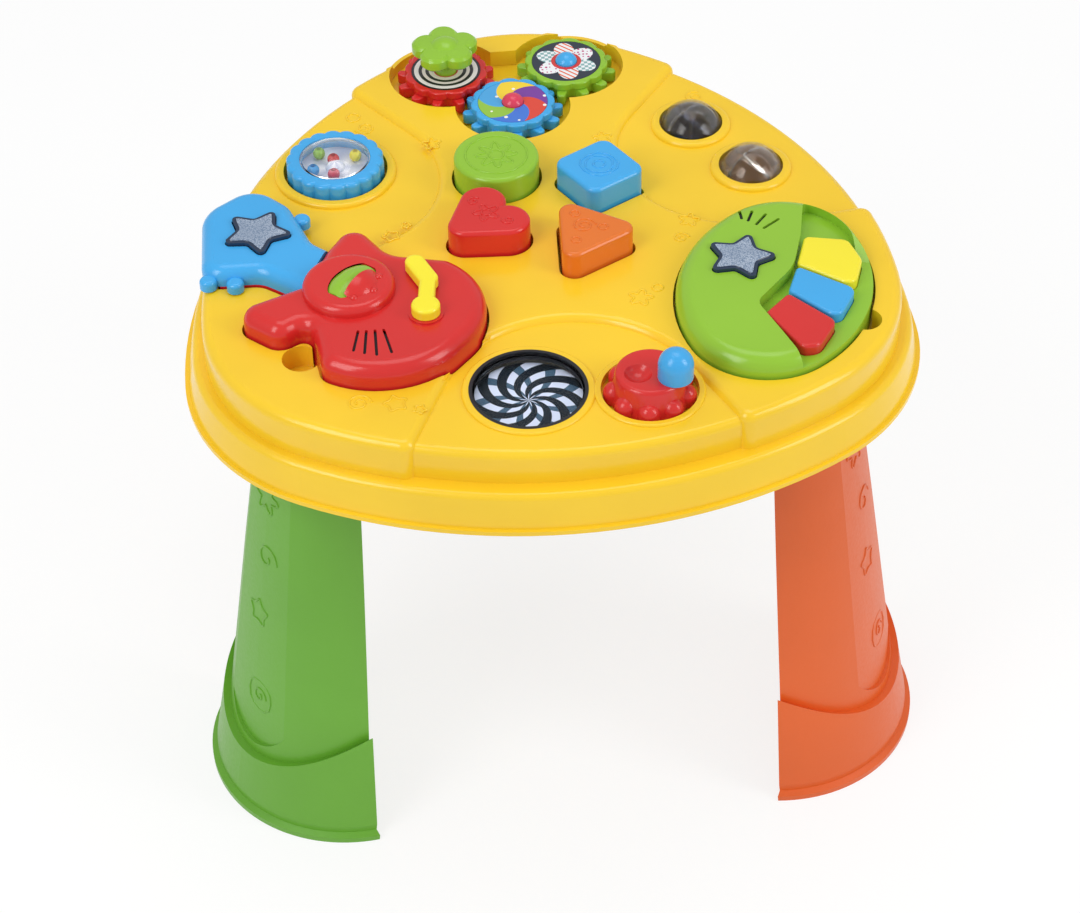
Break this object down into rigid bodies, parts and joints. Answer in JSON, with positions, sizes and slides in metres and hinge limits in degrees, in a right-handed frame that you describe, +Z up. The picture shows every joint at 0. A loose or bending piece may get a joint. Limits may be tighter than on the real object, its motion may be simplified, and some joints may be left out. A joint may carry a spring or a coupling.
{
  "type": "musical activity table",
  "caption": "Free-standing three-legged activity table for small children with gears, rattle, balls, shape blocks, crank and swirl, and a lift-out guitar and keyboard.",
  "frame": {"origin": "middle of the bounding box on the floor", "axes": "+Z up, +Y to the back corner with the gears, +X to the right as seen from the front bay with the crank"},
  "size_m": [0.4922, 0.4894, 0.392],
  "materials": {
    "table_yellow": "gloss",
    "leg_green": "satin gloss",
    "leg_orange": "satin gloss",
    "leg_blue": "satin gloss",
    "screw_steel": "zinc plated",
    "inner_grey": "matte",
    "clear_plastic": "clear",
    "dark_plastic": "matte",
    "toy_red": "gloss",
    "print_white": "printed",
    "toy_green": "gloss",
    "toy_blue": "gloss",
    "toy_pink": "gloss",
    "ball_amber": "gloss",
    "toy_orange": "gloss",
    "board_green": "matte",
    "battery_steel": "plain",
    "toy_yellow": "gloss",
    "star_silver": "silver mesh",
    "swirl_print": "printed"
  },
  "bodies": {
    "table": {"table_top": "table_yellow", "leg_front_left": "leg_green", "leg_front_right": "leg_orange", "leg_back": "leg_blue", "table_screws": "screw_steel", "wheel_pins": "table_yellow", "ball_cradles": "inner_grey", "drive_cover": "inner_grey", "swirl_window": "clear_plastic", "swirl_bezel": "dark_plastic"},
    "wheel_red": {"gear_red": "toy_red", "gear_red_print": "print_white", "flower_knob": "toy_green"},
    "wheel_blue": {"gear_blue": "toy_blue", "gear_blue_print": "print_white", "gear_blue_hub": "toy_pink"},
    "wheel_green": {"gear_green": "toy_green", "gear_green_print": "print_white", "gear_green_hub": "toy_blue"},
    "rattle": {"rattle_ring": "toy_blue", "rattle_base": "print_white", "rattle_beads": "toy_red", "rattle_dome": "clear_plastic"},
    "ball_left": {"ball_1": "clear_plastic", "ball_core_1": "ball_amber"},
    "ball_right": {"ball_2": "clear_plastic", "ball_core_2": "ball_amber"},
    "block_round": {"block_round": "toy_green"},
    "block_square": {"block_square": "toy_blue"},
    "block_heart": {"block_heart": "toy_red"},
    "block_triangle": {"block_triangle": "toy_orange"},
    "guitar": {"guitar_back": "toy_red", "guitar_body": "toy_red", "guitar_neck": "toy_blue", "guitar_board": "board_green", "guitar_speaker": "dark_plastic", "guitar_batteries": "battery_steel", "guitar_battery_door": "toy_red", "guitar_screws": "screw_steel", "guitar_switch": "dark_plastic"},
    "guitar_roller": {"guitar_roller": "toy_green"},
    "guitar_lever": {"guitar_lever": "toy_yellow"},
    "guitar_star": {"guitar_star": "star_silver"},
    "keyboard": {"piano_back": "toy_green", "piano_top": "toy_green", "piano_board": "board_green", "piano_speaker": "dark_plastic", "piano_batteries": "battery_steel", "piano_battery_door": "toy_green", "piano_screws": "screw_steel", "piano_switches": "dark_plastic"},
    "keyboard_star": {"piano_star": "star_silver"},
    "key_yellow": {"key_yellow": "toy_yellow"},
    "key_blue": {"key_blue": "toy_blue"},
    "key_red": {"key_red": "toy_red"},
    "crank": {"crank_dial": "toy_red", "crank_knob": "toy_blue", "crank_gear": "inner_grey"},
    "swirl": {"swirl_disc": "swirl_print", "swirl_gear": "inner_grey"}
  },
  "joints": [
    {"name": "red_gear_spin", "type": "hinge", "parent": "table", "child": "wheel_red", "pos_m": [-0.0452, 0.16532, 0.354], "axis": [0, 0, 1], "continuous": true},
    {"name": "blue_gear_spin", "type": "hinge", "parent": "table", "child": "wheel_blue", "pos_m": [-0.0035, 0.12212, 0.354], "axis": [0, 0, 1], "continuous": true},
    {"name": "green_gear_spin", "type": "hinge", "parent": "table", "child": "wheel_green", "pos_m": [0.0382, 0.16532, 0.354], "axis": [0, 0, 1], "continuous": true},
    {"name": "rattle_spin", "type": "hinge", "parent": "table", "child": "rattle", "pos_m": [-0.1275, 0.06762, 0.352], "axis": [0, 0, 1], "continuous": true},
    {"name": "ball_left_roll", "type": "hinge", "parent": "table", "child": "ball_left", "pos_m": [0.1137, 0.08962, 0.3495], "axis": [0.515, -0.8572, 0], "continuous": true},
    {"name": "ball_right_roll", "type": "hinge", "parent": "table", "child": "ball_right", "pos_m": [0.1457, 0.03662, 0.3495], "axis": [0.515, -0.8572, 0], "continuous": true},
    {"name": "round_block_lift", "type": "slide", "parent": "table", "child": "block_round", "axis": [0, 0, 1], "range_m": [0, 0.06]},
    {"name": "square_block_lift", "type": "slide", "parent": "table", "child": "block_square", "axis": [0, 0, 1], "range_m": [0, 0.06]},
    {"name": "heart_block_lift", "type": "slide", "parent": "table", "child": "block_heart", "axis": [0, 0, 1], "range_m": [0, 0.06]},
    {"name": "triangle_block_lift", "type": "slide", "parent": "table", "child": "block_triangle", "axis": [0, 0, 1], "range_m": [0, 0.06]},
    {"name": "guitar_lift", "type": "slide", "parent": "table", "child": "guitar", "axis": [0, 0, 1], "range_m": [0, 0.06]},
    {"name": "guitar_roller_spin", "type": "hinge", "parent": "guitar", "child": "guitar_roller", "pos_m": [-0.12504, -0.08086, 0.371], "axis": [0.6691, 0.7431, 0], "continuous": true},
    {"name": "guitar_lever_swing", "type": "hinge", "parent": "guitar", "child": "guitar_lever", "pos_m": [-0.08172, -0.11045, 0.376], "axis": [0, 0, 1], "range_deg": [-20, 8]},
    {"name": "guitar_star_press", "type": "slide", "parent": "guitar", "child": "guitar_star", "axis": [0, 0, 1], "range_m": [-0.002, 0], "stiffness_N_per_m": 400, "springref_m": 0.0015},
    {"name": "keyboard_lift", "type": "slide", "parent": "table", "child": "keyboard", "axis": [0, 0, 1], "range_m": [0, 0.06]},
    {"name": "keyboard_star_press", "type": "slide", "parent": "keyboard", "child": "keyboard_star", "axis": [0, 0, 1], "range_m": [-0.002, 0], "stiffness_N_per_m": 400, "springref_m": 0.0015},
    {"name": "yellow_key_press", "type": "slide", "parent": "keyboard", "child": "key_yellow", "axis": [0, 0, 1], "range_m": [-0.003, 0], "stiffness_N_per_m": 400, "springref_m": 0.0015},
    {"name": "blue_key_press", "type": "slide", "parent": "keyboard", "child": "key_blue", "axis": [0, 0, 1], "range_m": [-0.003, 0], "stiffness_N_per_m": 400, "springref_m": 0.0015},
    {"name": "red_key_press", "type": "slide", "parent": "keyboard", "child": "key_red", "axis": [0, 0, 1], "range_m": [-0.003, 0], "stiffness_N_per_m": 400, "springref_m": 0.0015},
    {"name": "crank_spin", "type": "hinge", "parent": "table", "child": "crank", "pos_m": [0.048, -0.17638, 0.328], "axis": [0, 0, 1], "continuous": true},
    {"name": "swirl_spin", "type": "hinge", "parent": "table", "child": "swirl", "pos_m": [-0.025, -0.16738, 0.328], "axis": [0, 0, 1], "continuous": true}
  ],
  "couplings": [
    {"joint": "blue_gear_spin", "follows": "red_gear_spin", "ratio": -1},
    {"joint": "green_gear_spin", "follows": "red_gear_spin", "ratio": 1},
    {"joint": "swirl_spin", "follows": "crank_spin", "ratio": -1}
  ]
}
